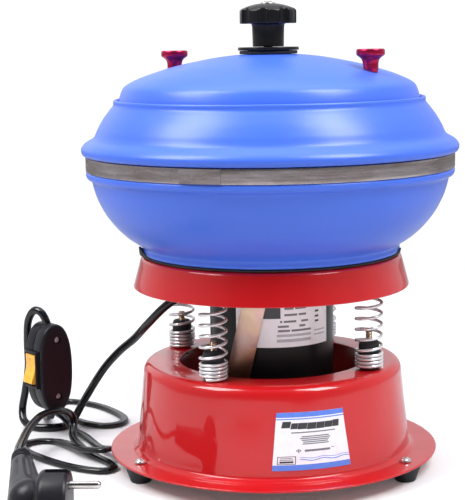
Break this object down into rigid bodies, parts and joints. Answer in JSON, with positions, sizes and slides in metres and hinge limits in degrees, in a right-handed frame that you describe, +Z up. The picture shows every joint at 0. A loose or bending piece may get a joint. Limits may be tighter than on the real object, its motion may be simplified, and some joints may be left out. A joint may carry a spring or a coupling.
{
  "type": "vibratory rock tumbler",
  "caption": "Vibratory tumbler that polishes stones: a covered round bowl and its motor shake on coil springs above a round base, with a mains cord and inline switch.",
  "frame": {"origin": "on the table, at the middle of the whole object's footprint, cord and plug included; the machine's own vertical axis stands at x = 0.03342, y = 0.00532", "axes": "+Z up, -Y towards the front, where the label and the front strap are, +X to the right, away from the cord"},
  "size_m": [0.3185, 0.3204, 0.3122],
  "materials": {
    "base_red": "gloss enamel",
    "bowl_blue": "satin",
    "rubber": "matt",
    "bright_steel": "bright plated",
    "band_steel": "brushed, slightly tarnished",
    "zinc_yellow": "yellow zinc plated",
    "motor_black": "satin black",
    "iron": "machined",
    "stator_stack": "varnished laminations and windings",
    "knob_black": "semi-gloss",
    "anodised_red": "anodised",
    "cord_black": "semi-gloss sheath",
    "switch_black": "fine moulded texture",
    "rocker_orange": "translucent amber",
    "nickel": "nickel plated"
  },
  "bodies": {
    "base": {"base_shell": "base_red", "rubber_foot_1": "rubber", "rubber_foot_2": "rubber", "rubber_foot_3": "rubber", "foot_screw_1": "bright_steel", "foot_screw_2": "bright_steel", "foot_screw_3": "bright_steel", "lower_spring_plug_1": "rubber", "lower_spring_plug_2": "rubber", "lower_spring_plug_3": "rubber", "lower_spring_plug_4": "rubber", "spring_bolt_1": "nickel", "spring_bolt_2": "nickel", "spring_bolt_3": "nickel", "spring_bolt_4": "nickel", "motor_cord": "cord_black", "plug_lead": "cord_black", "switch_front_half": "switch_black", "switch_back_half": "switch_black", "rocker_frame": "switch_black", "switch_screw_1": "bright_steel", "switch_screw_2": "bright_steel", "plug_body": "switch_black", "plug_pin_1": "nickel", "plug_pin_2": "nickel"},
    "springs_a": {"suspension_spring_1": "bright_steel", "suspension_spring_3": "bright_steel"},
    "springs_b": {"suspension_spring_2": "bright_steel", "suspension_spring_4": "bright_steel"},
    "pan": {"motor_pan": "base_red", "bowl_mat": "rubber", "tie_rod": "bright_steel", "tie_rod_nut": "bright_steel", "upper_spring_plug_1": "rubber", "upper_spring_plug_2": "rubber", "upper_spring_plug_3": "rubber", "upper_spring_plug_4": "rubber", "motor_shell": "motor_black", "motor_end_bell": "motor_black", "motor_stator": "stator_stack", "upper_bearing": "nickel", "lower_bearing": "nickel", "motor_strap_front": "zinc_yellow", "motor_strap_rear": "zinc_yellow"},
    "rotor": {"motor_rotor": "iron", "motor_shaft": "bright_steel", "eccentric_weight": "iron", "weight_nut": "bright_steel"},
    "bowl": {"bowl": "bowl_blue", "bowl_band": "band_steel", "rim_seal": "rubber"},
    "cover": {"cover": "bowl_blue"},
    "lid": {"lid": "bowl_blue", "lid_knob_1": "anodised_red", "lid_knob_2": "anodised_red", "clamp_gasket": "rubber"},
    "clamp": {"clamp_washer": "knob_black"},
    "knob": {"star_knob": "knob_black", "knob_insert": "nickel"},
    "rocker": {"switch_rocker": "rocker_orange"}
  },
  "joints": [
    {"name": "bounce", "type": "slide", "parent": "base", "child": "springs_a", "axis": [0, 0, 1], "range_m": [-0.008, 0.004], "stiffness_N_per_m": 8000, "springref_m": 0.00517, "deforming": ["suspension_spring_1", "suspension_spring_2", "suspension_spring_3", "suspension_spring_4", "motor_cord"]},
    {"name": "rock_a", "type": "hinge", "parent": "springs_a", "child": "springs_b", "pos_m": [0.03342, 0.00532, 0.1073], "axis": [-0.866, 0.5, 0], "range_deg": [-1.5, 1.5], "stiffness_Nm_per_rad": 22},
    {"name": "rock_b", "type": "hinge", "parent": "springs_b", "child": "pan", "pos_m": [0.03342, 0.00532, 0.1073], "axis": [0.5, 0.866, 0], "range_deg": [-1.5, 1.5], "stiffness_Nm_per_rad": 22},
    {"name": "rotor_spin", "type": "hinge", "parent": "pan", "child": "rotor", "pos_m": [0.03342, 0.00532, 0.0954], "axis": [0, 0, 1], "continuous": true},
    {"name": "bowl_lift", "type": "slide", "parent": "pan", "child": "bowl", "axis": [0, 0, 1], "range_m": [0, 0.17]},
    {"name": "cover_lift", "type": "slide", "parent": "bowl", "child": "cover", "axis": [0, 0, 1], "range_m": [0, 0.1]},
    {"name": "lid_lift", "type": "slide", "parent": "cover", "child": "lid", "axis": [0, 0, 1], "range_m": [0, 0.08]},
    {"name": "clamp_rise", "type": "slide", "parent": "lid", "child": "clamp", "axis": [0, 0, 1], "range_m": [0, 0.01]},
    {"name": "knob_turn", "type": "hinge", "parent": "clamp", "child": "knob", "pos_m": [0.03342, 0.00532, 0.2954], "axis": [0, 0, 1], "range_deg": [0, 3600]},
    {"name": "rocker_press", "type": "hinge", "parent": "base", "child": "rocker", "pos_m": [-0.13977, 0.05761, 0.0525], "axis": [-0.6428, 0.766, 0], "range_deg": [-20, 0]}
  ],
  "couplings": [
    {"joint": "knob_turn", "follows": "clamp_rise", "rad_per_m": 6283.2}
  ]
}
